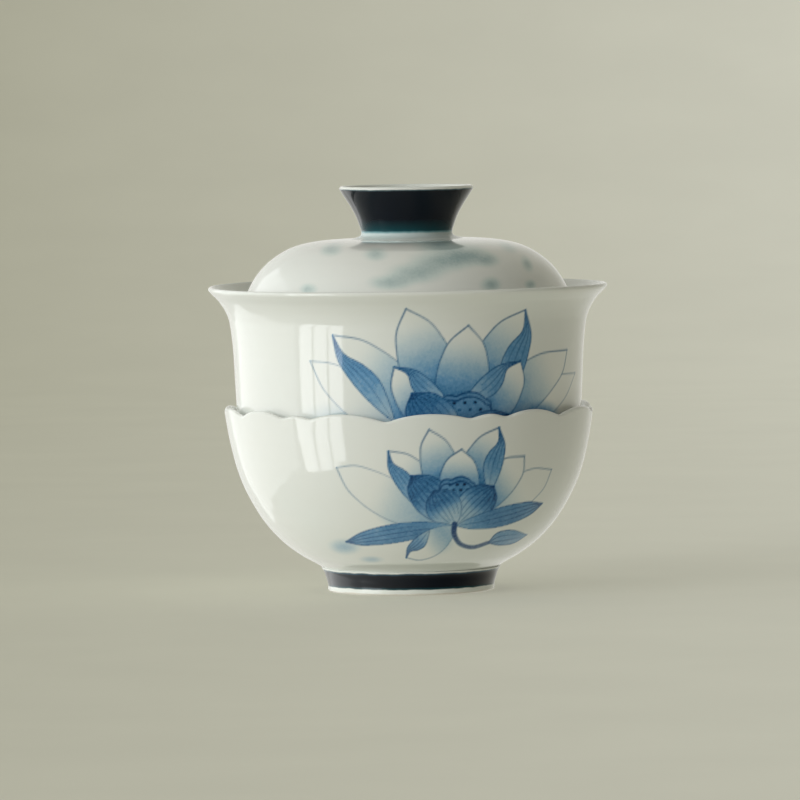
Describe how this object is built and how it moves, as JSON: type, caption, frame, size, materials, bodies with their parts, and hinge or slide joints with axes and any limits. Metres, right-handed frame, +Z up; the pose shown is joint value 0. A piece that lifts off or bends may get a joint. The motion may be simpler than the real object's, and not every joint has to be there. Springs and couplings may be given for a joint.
{
  "type": "gaiwan",
  "caption": "Lidded tea bowl with a flared rim and a domed lid with a ring grip, nested in a matching cup with a petal-cut rim and a dark foot.",
  "frame": {"origin": "centre of the tread of the cup's foot, where the set stands", "axes": "+Z up along the common axis of cup, bowl and lid; -Y towards the painted front"},
  "size_m": [0.0956, 0.0956, 0.0967],
  "materials": {
    "cup_glaze": "glossy clear glaze over white porcelain with blue brushwork",
    "cup_foot_glaze": "glossy indigo-black glaze over an unglazed white tread",
    "bowl_glaze": "glossy clear glaze over white porcelain with blue brushwork",
    "bowl_foot_glaze": "glossy clear glaze over white porcelain",
    "lid_glaze": "glossy clear glaze over white porcelain with soft blue washes",
    "grip_glaze": "glossy indigo-black glaze with a thin white lip"
  },
  "bodies": {
    "cup": {"cup_body": "cup_glaze", "cup_foot_ring": "cup_foot_glaze"},
    "bowl": {"bowl_body": "bowl_glaze", "bowl_foot_ring": "bowl_foot_glaze"},
    "lid": {"lid_dome": "lid_glaze", "lid_grip": "grip_glaze"}
  },
  "joints": [
    {"name": "bowl_lift", "type": "slide", "parent": "cup", "child": "bowl", "axis": [0, 0, 1], "range_m": [0, 0.07]},
    {"name": "lid_lift", "type": "slide", "parent": "bowl", "child": "lid", "axis": [0, 0, 1], "range_m": [0, 0.05]}
  ]
}
